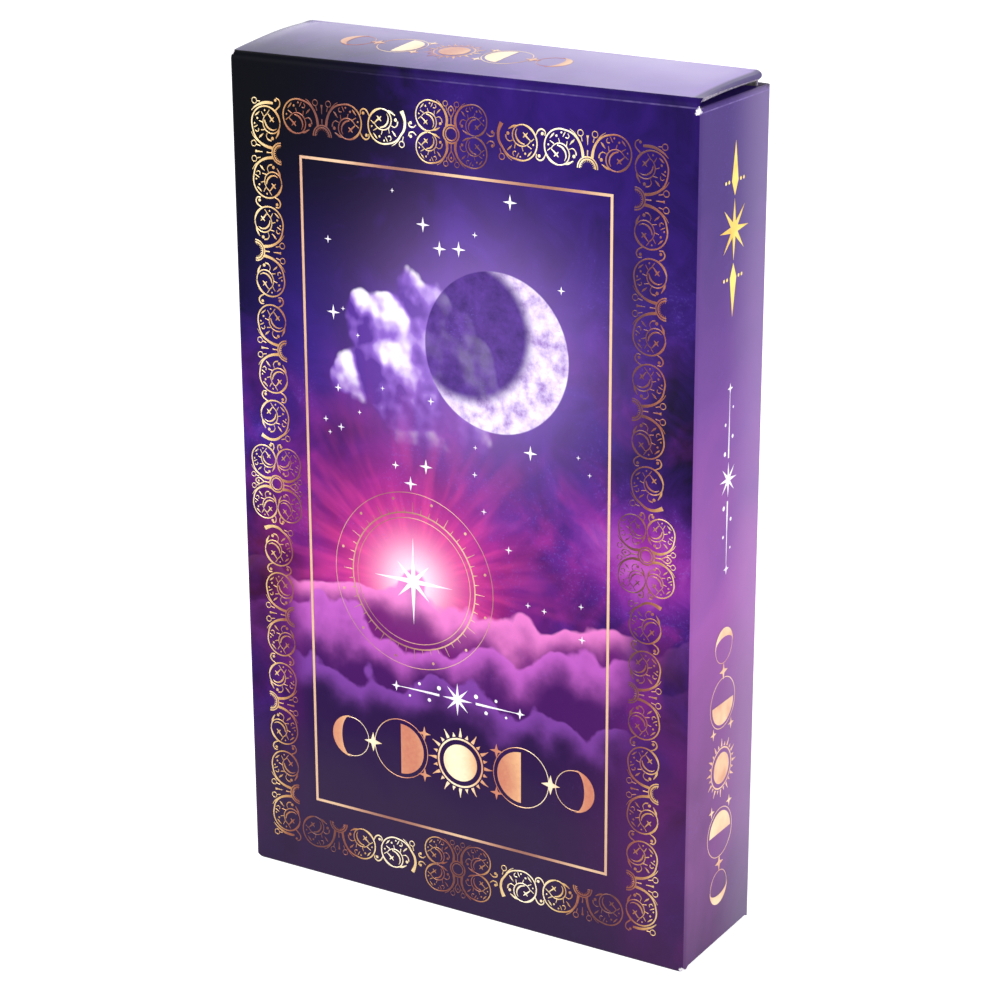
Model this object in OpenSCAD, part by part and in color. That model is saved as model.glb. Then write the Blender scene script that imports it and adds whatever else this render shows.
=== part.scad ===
// Boxed tarot deck: 78 cards and a folded leaflet in a paperboard tuck carton.
// The carton stands on its bottom closure. The front faces -Y, +X is to the right, +Z is up,
// and the origin is the middle of the underside.
// The carton is sized round the deck, so its outside follows from the cards and the clearances.

/* [Cards] */
// Width of a card
card_w = 70; // [55:0.5:90]
// Height of a card
card_h = 120; // [90:0.5:150]
// Thickness of a card
card_t = 0.22; // [0.18:0.01:0.4]
// Air between one card and the next
card_gap = 0.01; // [0.005:0.005:0.05]
// Corner radius of a card
card_corner_r = 4; // [1:0.5:8]

/* [Leaflet] */
// Width of the folded leaflet
leaflet_w = 67; // [50:0.5:70]
// Height of the folded leaflet
leaflet_h = 117; // [85:0.5:120]
// Thickness of one leaf of the leaflet
leaf_t = 0.16; // [0.1:0.01:0.3]
// Air between the two leaves of the leaflet
leaf_gap = 0.08; // [0.04:0.01:0.2]

/* [Board] */
// Thickness of the carton's board
board_t = 0.45; // [0.3:0.05:0.7]
// Outside radius of the four upright corners
corner_r = 0.8; // [0.7:0.1:3]
// Air between two panels at a crease
crease_gap = 0.03; // [0.02:0.01:0.08]
// Width of the glue flap
glue_flap_w = 12; // [6:0.5:16]
// Height that the glue flap's bevelled ends lose at its free edge
glue_flap_bevel = 8; // [2:0.5:15]
// Height from a dust flap to the end of the glue flap
glue_flap_end = 3; // [1:0.5:8]

/* [Fit] */
// Air at each side of the deck, from the board
side_clear = 1.8; // [1:0.1:3]
// Air between the front panel and the leaflet
front_clear = 0.1; // [0.05:0.05:0.5]
// Air between the last card and the tuck tabs
back_clear = 0.16; // [0.1:0.01:0.5]
// Free height above the deck
headroom = 1.55; // [0.8:0.05:4]
// Air under the deck
deck_lift = 0.15; // [0.1:0.05:0.4]

/* [Closures] */
// Height from a dust flap to the closure over it
flap_drop = 0.75; // [0.4:0.05:1.5]
// How far a closure stays inside the carton's width at each end
lid_inset = 0.25; // [0.1:0.05:1]
// How far the back panel's cut edges lie inside the carton's ends
back_inset = 0.3; // [0.1:0.05:1]
// Length of a tuck tab
tuck_len = 10; // [6:0.5:14]
// Radius of a tuck tab's free corners
tuck_corner_r = 7; // [2:0.5:9]
// Air at each end of a tuck tab, from the side panels
tuck_side = 1; // [0.6:0.1:3]
// Share of the closure's turn that the tuck tab folds back under it
tuck_share = 0.5; // [0.4:0.05:0.6]
// Air left behind a tuck tab as it swings out
tuck_margin = 0.1; // [0.05:0.05:0.4]
// Length of a dust flap
flap_len = 17; // [10:0.5:25]
// Distance from the carton's front face to a dust flap, at its crease
flap_front = 1.25; // [0.9:0.05:3]
// How far a dust flap's front edge slants away over its length
flap_front_slant = 3.5; // [3:0.25:6]
// Distance from a tuck tab to a dust flap, at its crease
flap_back = 1.1; // [0.8:0.1:3]
// How far a dust flap's rear edge slants away over its length
flap_back_slant = 0.8; // [0.4:0.1:3]
// Chamfer on a dust flap's free corners
flap_chamfer = 2; // [0.5:0.25:4]

/* [Hidden] */
$fn = 64;

MAJORS = [
    "major_00_fool", "major_01_magician", "major_02_high_priestess", "major_03_empress",
    "major_04_emperor", "major_05_hierophant", "major_06_lovers", "major_07_chariot",
    "major_08_strength", "major_09_hermit", "major_10_wheel_of_fortune", "major_11_justice",
    "major_12_hanged_man", "major_13_death", "major_14_temperance", "major_15_devil",
    "major_16_tower", "major_17_star", "major_18_moon", "major_19_sun",
    "major_20_judgement", "major_21_world"
];
SUITS = ["wands", "cups", "swords", "pentacles"];
COURTS = ["page", "knight", "queen", "king"];
CARTON = [
    "front_panel", "back_panel", "left_panel", "right_panel", "glue_flap",
    "top_lid", "top_tuck", "top_dust_flap_left", "top_dust_flap_right",
    "bottom_closure", "bottom_tuck", "bottom_dust_flap_left", "bottom_dust_flap_right"
];
function pips_name(suit) = str(SUITS[suit], "_pips");
function court_name(suit, court) = str(SUITS[suit], "_", COURTS[court]);
MINORS = [
    for (suit = [0 : len(SUITS) - 1])
        each concat(
            [pips_name(suit)],
            [for (court = [0 : len(COURTS) - 1]) court_name(suit, court)]
        )
];

// The stack, front to back: leaflet, major cards, then the four suits
pips_per_suit = 10;
cards_per_suit = pips_per_suit + len(COURTS);
card_count = len(MAJORS) + len(SUITS) * cards_per_suit;
card_pitch = card_t + card_gap;
leaflet_d = 2 * leaf_t + leaf_gap;
deck_d = leaflet_d + card_count * card_pitch;

// Room behind the tuck tabs for the arc that their free edges swing through
tuck_swing = pow(tuck_len * (1 - tuck_share), 2) / (2 * deck_d);
tuck_clear = tuck_swing + tuck_margin;

// The carton's outside
carton_w = card_w + 2 * side_clear + 2 * board_t;
carton_d = front_clear + deck_d + back_clear + tuck_clear + 3 * board_t;
end_h = 2 * board_t + flap_drop;
carton_h = 2 * end_h + deck_lift + card_h + headroom;
corner_inner_r = corner_r - board_t;

// Places that several pieces share
front_y = -carton_d / 2;
back_y = carton_d / 2;
inner_x = carton_w / 2 - board_t;
deck_y = front_y + board_t + front_clear;
deck_z = end_h + deck_lift;
crease_r = board_t / 2;
lid_axis_y = front_y + crease_r;
lid_axis_z = carton_h - crease_r;
tuck_axis_y = back_y - 2 * board_t - tuck_clear;
tuck_axis_z = carton_h - board_t;
lid_w = carton_w - 2 * lid_inset;
tuck_w = 2 * (inner_x - tuck_side);
flap_axis_x = carton_w / 2 - crease_r;
flap_axis_z = carton_h - board_t - flap_drop - crease_r;
flap_front_y = front_y + flap_front;
flap_back_y = tuck_axis_y - flap_back;
front_panel_z = board_t + crease_gap;
side_panel_z = end_h + crease_gap;
mitre_depth = corner_r + board_t;

print_colour = "#3d2a78";
side_colour = "#6a4f94";
dark_print_colour = "#2a1c56";
board_colour = "#c9c5c2";
card_colour = "#efe9dd";
court_colour = "#e9e1d1";
pip_colour = "#f3eee4";
leaflet_colour = "#fbfaf6";

// Flat outlines

module round_rect(w, d, r) {
    square([w - 2 * r, d], center = true);
    square([w, d - 2 * r], center = true);
    for (x = [-1, 1], y = [-1, 1])
        translate([x * (w / 2 - r), y * (d / 2 - r)])
            circle(r);
}

// The tube of board seen from above
module wall_ring() {
    difference() {
        round_rect(carton_w, carton_d, corner_r);
        round_rect(carton_w - 2 * board_t, carton_d - 2 * board_t, corner_inner_r);
    }
}

// The part of that tube between two mitred corners, for a wall of the given half length and distance
module mitred_wall(half_length, distance) {
    polygon([
        [-half_length, -distance],
        [half_length, -distance],
        [half_length - mitre_depth, mitre_depth - distance],
        [mitre_depth - half_length, mitre_depth - distance]
    ]);
}

// Placing

module at_bottom() {
    translate([0, 0, carton_h])
        mirror([0, 0, 1])
            children();
}

module at_left() {
    mirror([1, 0, 0])
        children();
}

// One upright wall. turn is 0 for the front, 90 for the right side, 180 for the back.
module wall(turn, half_length, distance, end_z) {
    translate([0, 0, end_z])
        linear_extrude(carton_h - 2 * end_z)
            intersection() {
                wall_ring();
                rotate(turn)
                    mitred_wall(half_length, distance);
            }
}

// Carton walls

module front_panel() {
    color(print_colour)
        wall(0, carton_w / 2, carton_d / 2, front_panel_z);
}

module back_panel() {
    color(dark_print_colour)
        wall(180, carton_w / 2, carton_d / 2, back_inset);
}

module right_panel() {
    color(side_colour)
        wall(90, carton_d / 2, carton_w / 2, side_panel_z);
}

module left_panel() {
    color(side_colour)
        wall(270, carton_d / 2, carton_w / 2, side_panel_z);
}

// The flap folds in from the back panel and is glued to the left panel's inner face.
module glue_flap() {
    flap_z = end_h + glue_flap_end;
    root_y = back_y - corner_r;
    free_y = root_y - glue_flap_w;
    color(board_colour)
        translate([-inner_x, 0, 0])
            rotate([90, 0, 90])
                linear_extrude(board_t)
                    polygon([
                        [root_y, flap_z],
                        [root_y, carton_h - flap_z],
                        [free_y, carton_h - flap_z - glue_flap_bevel],
                        [free_y, flap_z + glue_flap_bevel]
                    ]);
}

// End closures, drawn for the top

// A panel with a round crease at the front, and a quarter-round crease that the tuck tab turns about.
module closure_board() {
    translate([-lid_w / 2, lid_axis_y, carton_h - board_t])
        cube([lid_w, tuck_axis_y - lid_axis_y, board_t]);
    translate([-lid_w / 2, lid_axis_y, lid_axis_z])
        rotate([0, 90, 0])
            cylinder(r = crease_r, h = lid_w);
    intersection() {
        translate([-tuck_w / 2, tuck_axis_y, tuck_axis_z])
            rotate([0, 90, 0])
                cylinder(r = board_t, h = tuck_w);
        translate([-tuck_w / 2, tuck_axis_y - board_t, tuck_axis_z])
            cube([tuck_w, 2 * board_t, board_t]);
    }
}

// A tab that hangs inside the back panel, with round free corners.
module tuck_board() {
    straight_len = tuck_len - tuck_corner_r;
    translate([0, tuck_axis_y + board_t, tuck_axis_z - crease_gap])
        rotate([90, 0, 0])
            linear_extrude(board_t) {
                translate([-tuck_w / 2, -straight_len])
                    square([tuck_w, straight_len]);
                translate([tuck_corner_r - tuck_w / 2, -tuck_len])
                    square([tuck_w - 2 * tuck_corner_r, tuck_len]);
                for (x = [-1, 1])
                    intersection() {
                        translate([x * (tuck_w / 2 - tuck_corner_r), -straight_len])
                            circle(tuck_corner_r);
                        translate([-tuck_w / 2, -tuck_len])
                            square([tuck_w, tuck_len]);
                    }
            }
}

// The right-hand flap: a round crease on the side panel, and a board that narrows to its free end.
module dust_flap_board() {
    free_x = flap_axis_x - flap_len;
    free_front_y = flap_front_y + flap_front_slant;
    free_back_y = flap_back_y - flap_back_slant;
    translate([flap_axis_x, flap_front_y, flap_axis_z])
        rotate([-90, 0, 0])
            cylinder(r = crease_r, h = flap_back_y - flap_front_y);
    translate([0, 0, flap_axis_z - crease_r])
        linear_extrude(board_t)
            polygon([
                [flap_axis_x, flap_front_y],
                [flap_axis_x, flap_back_y],
                [free_x + flap_chamfer, free_back_y],
                [free_x, free_back_y - flap_chamfer],
                [free_x, free_front_y + flap_chamfer],
                [free_x + flap_chamfer, free_front_y]
            ]);
}

module top_lid() {
    color(print_colour)
        closure_board();
}

module top_tuck() {
    color(board_colour)
        tuck_board();
}

module top_dust_flap_right() {
    color(board_colour)
        dust_flap_board();
}

module top_dust_flap_left() {
    color(board_colour)
        at_left()
            dust_flap_board();
}

module bottom_closure() {
    color(dark_print_colour)
        at_bottom()
            closure_board();
}

module bottom_tuck() {
    color(board_colour)
        at_bottom()
            tuck_board();
}

module bottom_dust_flap_right() {
    color(board_colour)
        at_bottom()
            dust_flap_board();
}

module bottom_dust_flap_left() {
    color(board_colour)
        at_bottom()
            at_left()
                dust_flap_board();
}

// Contents

// One sheet folded once, with the round fold at the left.
module leaflet() {
    fold_r = leaflet_d / 2;
    fold_x = fold_r - leaflet_w / 2;
    color(leaflet_colour)
        translate([0, deck_y + fold_r, deck_z])
            linear_extrude(leaflet_h)
                difference() {
                    union() {
                        translate([fold_x, -fold_r])
                            square([leaflet_w - fold_r, leaflet_d]);
                        translate([fold_x, 0])
                            circle(fold_r);
                    }
                    translate([fold_x, -leaf_gap / 2])
                        square([leaflet_w, leaf_gap]);
                    translate([fold_x, 0])
                        circle(leaf_gap / 2);
                }
}

// The card at a place in the stack, counted from the front
module card(place) {
    translate([0, deck_y + leaflet_d + (place + 1) * card_pitch, deck_z + card_h / 2])
        rotate([90, 0, 0])
            linear_extrude(card_t)
                round_rect(card_w, card_h, card_corner_r);
}

function suit_start(suit) = len(MAJORS) + suit * cards_per_suit;

module major_card(number) {
    color(card_colour)
        card(number);
}

module suit_pips(suit) {
    color(pip_colour)
        for (pip = [0 : pips_per_suit - 1])
            card(suit_start(suit) + pip);
}

module court_card(suit, court) {
    color(court_colour)
        card(suit_start(suit) + pips_per_suit + court);
}

front_panel();
back_panel();
left_panel();
right_panel();
glue_flap();
top_lid();
top_tuck();
top_dust_flap_left();
top_dust_flap_right();
bottom_closure();
bottom_tuck();
bottom_dust_flap_left();
bottom_dust_flap_right();
leaflet();
for (number = [0 : len(MAJORS) - 1])
    major_card(number);
for (suit = [0 : len(SUITS) - 1])
    suit_pips(suit);
for (suit = [0 : len(SUITS) - 1], court = [0 : len(COURTS) - 1])
    court_card(suit, court);
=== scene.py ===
"""The looks of a boxed tarot deck: a printed tuck carton with a gold border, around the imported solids.

Lengths are in millimetres and become metres where a mesh is made. The front faces -Y and +Z is up.
"""
import math
import random

import bpy
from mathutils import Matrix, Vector

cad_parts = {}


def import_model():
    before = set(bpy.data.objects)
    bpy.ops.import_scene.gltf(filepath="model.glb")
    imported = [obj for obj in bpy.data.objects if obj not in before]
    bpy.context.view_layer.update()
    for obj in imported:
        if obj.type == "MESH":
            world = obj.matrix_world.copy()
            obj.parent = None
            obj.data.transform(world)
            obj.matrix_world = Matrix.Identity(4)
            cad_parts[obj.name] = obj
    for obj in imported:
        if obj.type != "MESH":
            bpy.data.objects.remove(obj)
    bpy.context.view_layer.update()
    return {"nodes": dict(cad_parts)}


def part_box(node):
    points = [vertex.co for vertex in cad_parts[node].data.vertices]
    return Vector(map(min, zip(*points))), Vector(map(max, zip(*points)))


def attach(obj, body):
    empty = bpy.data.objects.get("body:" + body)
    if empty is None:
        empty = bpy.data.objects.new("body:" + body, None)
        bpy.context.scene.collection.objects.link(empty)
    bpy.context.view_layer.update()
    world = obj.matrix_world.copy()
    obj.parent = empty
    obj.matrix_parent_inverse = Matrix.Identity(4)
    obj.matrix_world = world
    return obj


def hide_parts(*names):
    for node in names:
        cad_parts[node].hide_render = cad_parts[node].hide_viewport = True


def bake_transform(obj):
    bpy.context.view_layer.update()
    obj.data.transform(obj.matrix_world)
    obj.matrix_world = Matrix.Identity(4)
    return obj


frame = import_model()
MM = 0.001


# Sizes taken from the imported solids


def node_box(node):
    low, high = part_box(node)
    return [c / MM for c in low], [c / MM for c in high]


back_low, back_high = node_box("back_panel")
lid_low, lid_high = node_box("top_lid")
tuck_low, tuck_high = node_box("top_tuck")
flap_low, flap_high = node_box("top_dust_flap_right")

HALF_W = node_box("right_panel")[1][0]
HALF_D = back_high[1]
HEIGHT = lid_high[2]
BOARD = lid_high[2] - lid_low[2]
HALF_LID = lid_high[0]
HALF_TUCK = tuck_high[0]
TUCK_FACE = tuck_high[1]
CORNER_R = 0.8
FLAP_GAP = 0.1

# The folds, as outside radii, and how far the front fold turns before the lid takes over
FRONT_FOLD_R = 1.2
FRONT_FOLD_TURN = math.radians(80)
REAR_FOLD_R = 0.6
FLAP_FOLD_R = 0.5
BASE_FOLD_R = 0.7
BACK_TOP = flap_high[2] + FLAP_GAP
BACK_SHOULDER = 0.1
SIDE_SHOULDER = -0.5
SHARP_ANGLE = math.radians(40)

# The bottom dust flaps lie close on the bottom closure, which is cut a little narrower than the lid
TOP_FLAP_Z = flap_high[2]
BOTTOM_FLAP_Z = BOARD + FLAP_GAP
SIDE_LOW = BOTTOM_FLAP_Z + FLAP_FOLD_R
SIDE_HIGH = TOP_FLAP_Z - FLAP_FOLD_R
HALF_BASE = 36.5

# The lid has sprung up a little at its rear, more at the left, and its cut ends curl down
REAR_LIFT_LEFT = 1.8
REAR_LIFT_RIGHT = 0.85
LIFT_POWER = 2.2
CURL_WIDTH = 1.3
CURL_DROP = 0.8
LID_ROUNDING = 1.3
LID_ROUNDING_START = 0.9

# Where the tuck tab hangs free of its crease, and the shapes of the tab's and the dust flaps' ends
TUCK_ROOT_DROP = 0.3
TUCK_ROOT_Z = tuck_high[2] - TUCK_ROOT_DROP
TUCK_STRAIGHT = 3.0
FLAP_FRONT_SLANT = 3.5
FLAP_BACK_SLANT = 0.8
FLAP_CHAMFER = 2.0


# Colours


def srgb(red, green, blue):
    """A colour as it looks on screen, 0 to 255, as the linear colour that a shader takes."""
    linear = []
    for part in (red, green, blue):
        share = part / 255
        linear.append(share / 12.92 if share <= 0.04045 else ((share + 0.055) / 1.055) ** 2.4)
    return (*linear, 1.0)


BLACK_INDIGO = srgb(8, 9, 14)
INDIGO = srgb(42, 22, 92)
BLUE_VIOLET = srgb(60, 34, 128)
VIOLET = srgb(108, 56, 158)
ORCHID = srgb(156, 92, 196)
LAVENDER = srgb(204, 180, 234)
PLUM = srgb(54, 41, 68)
MAGENTA = srgb(170, 44, 150)
PINK = srgb(244, 96, 178)
ROSE_WHITE = srgb(255, 232, 244)
WEAR_WHITE = srgb(236, 230, 238)
# The pale crease line, partly wear and partly painted highlight
CREASE_LILAC = srgb(150, 132, 196)
# Pale stipple, partly print and partly painted glints of the laminate's grain
SPECKLE_AND_GLINT_VIOLET = srgb(126, 104, 214)


class Value:
    """A number that a material works out at each point, with ordinary arithmetic."""

    def __init__(self, shade, socket):
        self.shade = shade
        self.socket = socket

    def __add__(self, other):
        return self.shade.math("ADD", self, other)

    def __sub__(self, other):
        return self.shade.math("SUBTRACT", self, other)

    def __rsub__(self, other):
        return self.shade.math("SUBTRACT", other, self)

    def __mul__(self, other):
        return self.shade.math("MULTIPLY", self, other)

    def __truediv__(self, other):
        return self.shade.math("DIVIDE", self, other)

    def __pow__(self, power):
        return self.shade.math("POWER", self, power)

    def __abs__(self):
        return self.shade.math("ABSOLUTE", self)


class Shade:
    """A material's nodes, with short calls for what the prints are mixed from."""

    def __init__(self, name):
        self.material = bpy.data.materials.new(name)
        self.material.use_nodes = True
        self.tree = self.material.node_tree
        self.surface = self.tree.nodes["Principled BSDF"]
        self.colour = None
        coords = self.make("ShaderNodeTexCoord", {}, "Object")
        self.place = self.make("ShaderNodeVectorMath", {0: coords, "Scale": 1 / MM}, operation="SCALE")
        split = self.node("ShaderNodeSeparateXYZ")
        self.feed(split.inputs[0], self.place)
        self.x, self.y, self.z = [Value(self, socket) for socket in split.outputs]

    def node(self, kind, **settings):
        made = self.tree.nodes.new(kind)
        for key, value in settings.items():
            setattr(made, key, value)
        return made

    def feed(self, socket, value):
        if isinstance(value, Value):
            value = value.socket
        if isinstance(value, bpy.types.NodeSocket):
            self.tree.links.new(value, socket)
        else:
            socket.default_value = value

    def make(self, kind, inputs, output=0, **settings):
        """A node with its settings and what feeds its inputs; gives one of its outputs."""
        made = self.node(kind, **settings)
        for key, value in inputs.items():
            self.feed(made.inputs[key], value)
        return Value(self, made.outputs[output])

    def math(self, operation, first, second=0.0):
        return self.make("ShaderNodeMath", {0: first, 1: second}, operation=operation)

    def vector(self, x, y, z):
        return self.make("ShaderNodeCombineXYZ", {0: x, 1: y, 2: z})

    def noise(self, size, detail=2.0, distortion=0.0, place=None, roughness=0.5):
        """Soft noise whose features are about size millimetres wide."""
        inputs = {"Vector": self.place if place is None else place, "Scale": 1 / size, "Detail": detail,
                  "Distortion": distortion, "Roughness": roughness}
        return self.make("ShaderNodeTexNoise", inputs)

    def step(self, value, low, high):
        """0 below low, 1 above high and smooth between; high may be below low."""
        inputs = {"Value": value, "From Min": low, "From Max": high}
        return self.make("ShaderNodeMapRange", inputs, interpolation_type="SMOOTHSTEP")

    def ramp(self, factor, stops):
        made = self.node("ShaderNodeValToRGB")
        self.feed(made.inputs[0], factor)
        colours = made.color_ramp.elements
        for place, colour in stops[2:]:
            colours.new(place)
        for element, (place, colour) in zip(colours, sorted(stops)):
            element.position = place
            element.color = colour
        return made.outputs[0]

    def mix(self, factor, first, second):
        inputs = {0: factor, 6: first, 7: second}
        return self.make("ShaderNodeMix", inputs, 2, data_type="RGBA", blend_type="MIX")

    def tint(self, amount, colour):
        """Lays a colour over the print so far, by an amount from 0 to 1 at each point."""
        self.colour = self.mix(amount, self.colour, colour)

    def distance(self, across, up, centre, stretch=(1.0, 1.0)):
        """Distance on a panel from a point, with each axis divided by its stretch."""
        a = (across - centre[0]) / stretch[0]
        b = (up - centre[1]) / stretch[1]
        return self.math("SQRT", a * a + b * b)

    def glow(self, distance, radius):
        """A soft round spot: 1 at its middle, fading over about its radius."""
        share = distance / radius
        return self.math("EXPONENT", share * share * -1.0)

    def patch(self, place):
        """A soft patch on the front or back, given as its centre, stretch and radius."""
        centre, stretch, radius = place
        return self.glow(self.distance(self.x, self.z, centre, stretch), radius)

    def finish(self, roughness, specular, metallic=0.0, grain=None):
        self.feed(self.surface.inputs["Base Color"], self.colour)
        self.feed(self.surface.inputs["Roughness"], roughness)
        self.surface.inputs["Specular IOR Level"].default_value = specular
        self.surface.inputs["Metallic"].default_value = metallic
        if grain is not None:
            height, depth = grain
            inputs = {"Strength": GRAIN_STRENGTH, "Distance": depth * MM, "Height": height}
            self.feed(self.surface.inputs["Normal"], self.make("ShaderNodeBump", inputs))
        return self.material


# Where the gold border and the line inside it lie on the front and back

BORDER_X = -0.42
BORDER_HALF_W = 30.72
BORDER_MID_Z = 61.8
BORDER_TOP_Z = 116.75
BORDER_BOTTOM_Z = 7.05
LINE_HALF_W = 25.1
LINE_LOW_Z = 12.35
LINE_HIGH_Z = 111.3
LINE_WIDTH = 0.4


# The printed design, mixed from the same parts on every panel

GRAIN_SIZE = 0.22
GRAIN_DEPTH = 0.012
GRAIN_STRENGTH = 0.5
LAMINATE_ROUGHNESS = 0.42
LAMINATE_SPECULAR = 0.02
ROUGHNESS_SPREAD = 0.16
SPECKLE_SIZE = 0.34
NEBULA_STOPS = [(0.26, BLACK_INDIGO), (0.42, INDIGO), (0.56, BLUE_VIOLET), (0.68, VIOLET), (0.82, ORCHID),
                (0.96, LAVENDER)]


def laminate(shade, roughness=LAMINATE_ROUGHNESS, specular=LAMINATE_SPECULAR):
    """A soft laminate over the print, with a fine grain."""
    grain = shade.noise(GRAIN_SIZE, detail=1.0)
    rough = shade.noise(9.0, detail=3.0) * ROUGHNESS_SPREAD + (roughness - ROUGHNESS_SPREAD / 2)
    return shade.finish(rough, specular, grain=(grain, GRAIN_DEPTH))


def speckle(shade, tone, amount):
    """Pale stipple where the print's tone is not dark: partly stipple in the print and partly painted glints
    of the grained laminate.
    """
    fine = shade.noise(SPECKLE_SIZE, detail=2.0, roughness=0.7)
    patches = shade.step(shade.noise(7.0, detail=2.0), 0.4, 0.62) * shade.step(tone, 0.36, 0.56)
    shade.tint(shade.step(fine, 0.54, 0.76) * patches * amount, SPECKLE_AND_GLINT_VIOLET)


def worn(shade, spots, lines=()):
    """White board where corners have rubbed, and a broken pale line along a crease that is partly wear and
    partly a painted highlight on the fold.
    """
    ragged = shade.noise(0.34, detail=4.0, roughness=0.7)
    for centre, radius in spots:
        gap = shade.make("ShaderNodeVectorMath", {0: shade.place, 1: centre}, "Value", operation="DISTANCE")
        edge = gap + ragged * (radius * 2.2)
        shade.tint(shade.step(edge, radius * 2.05, radius * 1.85), WEAR_WHITE)
    for value, place, width, strength in lines:
        # The crease line: wear on the fold, and a painted highlight where the rounded fold catches the light
        rubbed = shade.step(shade.noise(1.4, detail=3.0), 0.36, 0.66) * 0.55 + 0.45
        shade.tint(shade.step(abs(value - place), width, width * 0.3) * (rubbed * strength), CREASE_LILAC)


def nebula(shade, lift):
    """Drifting clouds from near black through indigo and violet to lavender; gives their tone."""
    big = shade.noise(26.0, detail=3.0, distortion=0.8)
    small = shade.noise(8.0, detail=6.0, distortion=1.0, roughness=0.6)
    tone = big * 0.62 + small * 0.42 + lift
    shade.colour = shade.ramp(tone, NEBULA_STOPS)
    return tone


# Places that are rubbed white

TORN_CORNER = (HALF_W - 0.35, -HALF_D + 0.25, HEIGHT - FRONT_FOLD_R - 0.4)
RUBBED_FOOT = (HALF_W - 0.45, -HALF_D + 0.2, 0.5)
RUBBED_SHOULDER = (-HALF_W + 0.4, -HALF_D + 0.6, HEIGHT - 0.4)

# Soft patches on the front and back: centre, stretch and radius

DARK_CORNER = ((-31.0, 113.0), (1.0, 1.1), 25.0)
HEART = ((-1.0, 74.0), (0.8, 1.2), 27.0)
RIGHT_GLOW = ((30.0, 60.5), (1.2, 1.0), 8.0)
RIGHT_DUSK = ((35.0, 76.0), (0.8, 1.0), 9.0)
LEFT_GLOW = ((-33.0, 64.0), (0.8, 1.0), 10.0)
LEFT_GLOOM = ((-35.0, 48.0), (0.7, 1.0), 14.0)
TOP_BLUE = ((17.0, 118.0), (1.5, 1.0), 15.0)
LEFT_BLUE = ((-25.0, 85.0), (0.8, 1.2), 12.0)
EMBER = ((32.0, 21.0), (0.8, 1.3), 13.0)
MIST = ((-1.0, 86.0), (1.0, 1.15), 15.0)
BACK_HEART = ((0.0, HEIGHT / 2), (1.0, 1.4), 34.0)

# How much lighter or darker these patches make the front, and its tone elsewhere and at its foot

PATCH_LIFTS = [(DARK_CORNER, -0.36), (HEART, 0.12), (RIGHT_GLOW, 0.22), (LEFT_GLOW, 0.12),
               (RIGHT_DUSK, -0.1), (LEFT_GLOOM, -0.12)]
FRONT_LIFT = -0.11
FOOT_LIFT = -0.04

# Patches of another colour on the front: place, strength and colour

PATCH_TINTS = [(TOP_BLUE, 0.5, srgb(50, 26, 120)), (LEFT_BLUE, 0.62, srgb(46, 28, 122)),
               (MIST, 0.4, srgb(140, 100, 200))]

# Where a change of the colour begins and where it is full: heights, and across the carton in the last three

FOOT_FADE = (34.0, 8.0)
ROSE_FADE = (100.0, 62.0)
PLUM_FADE = (38.0, 20.0)
SPECKLE_FADE = (26.0, 60.0)
HIGH_CLOUD_FADE = (66.0, 84.0)
HIGH_CLOUD_DEPTH = (96.0, 70.0)
CREASE_FADE = (-24.0, 16.0)
END_DARK_FADE = (4.0, -40.0)
# The closures' painted glare, lighter towards the right
END_PAINTED_GLARE_FADE = (-24.0, 34.0)

ROSE_STOPS = [(0.22, srgb(38, 16, 54)), (0.44, srgb(108, 34, 116)), (0.6, MAGENTA),
              (0.85, srgb(226, 120, 206))]
SIDE_STOPS = [(0.02, srgb(76, 58, 92)), (0.2, srgb(128, 84, 138)), (0.42, srgb(158, 92, 168)),
              (0.62, srgb(122, 78, 154)), (0.85, srgb(82, 62, 124)), (1.0, srgb(80, 62, 122))]

# The sky: a star and its glows (radius, strength and colour), a moon with its shaded side, a tall cloud and
# the way to its light, and banks of cloud from the rear one forwards (height, lump size and two colours)

STAR_PLACE = (-7.5, 51.0)
STAR_REACH = 17.0
STAR_GLOWS = [(11.0, 0.8, srgb(232, 52, 128)), (7.5, 0.8, PINK), (5.2, 1.0, ROSE_WHITE)]
MOON_PLACE = (6.5, 87.0)
MOON_R = 11.5
MOON_SHADE_PLACE = (1.9, 89.6)
MOON_SHADE_R = 9.6
MOON_STOPS = [(0.32, srgb(150, 116, 190)), (0.5, srgb(222, 204, 240)), (0.66, srgb(250, 244, 255))]
MOON_SHADE_STOPS = [(0.3, srgb(40, 24, 84)), (0.7, srgb(92, 58, 150))]
HIGH_CLOUD = ((-5.5, 83.0), (1.15, 1.0), 16.5)
HIGH_CLOUD_LUMPS = (7.5, 11.0)
TO_LIGHT = (0.9, 0.8)
HIGH_CLOUD_STOPS = [(0.12, srgb(78, 44, 142)), (0.42, srgb(138, 98, 198)), (0.62, srgb(196, 168, 232)),
                    (0.86, srgb(250, 244, 255))]
CLOUD_BANKS = [(49.0, 9.0, srgb(96, 28, 108), srgb(232, 128, 204)),
               (42.0, 7.0, srgb(66, 24, 92), srgb(190, 96, 194)),
               (34.0, 6.0, srgb(40, 22, 66), srgb(124, 66, 158))]


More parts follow.
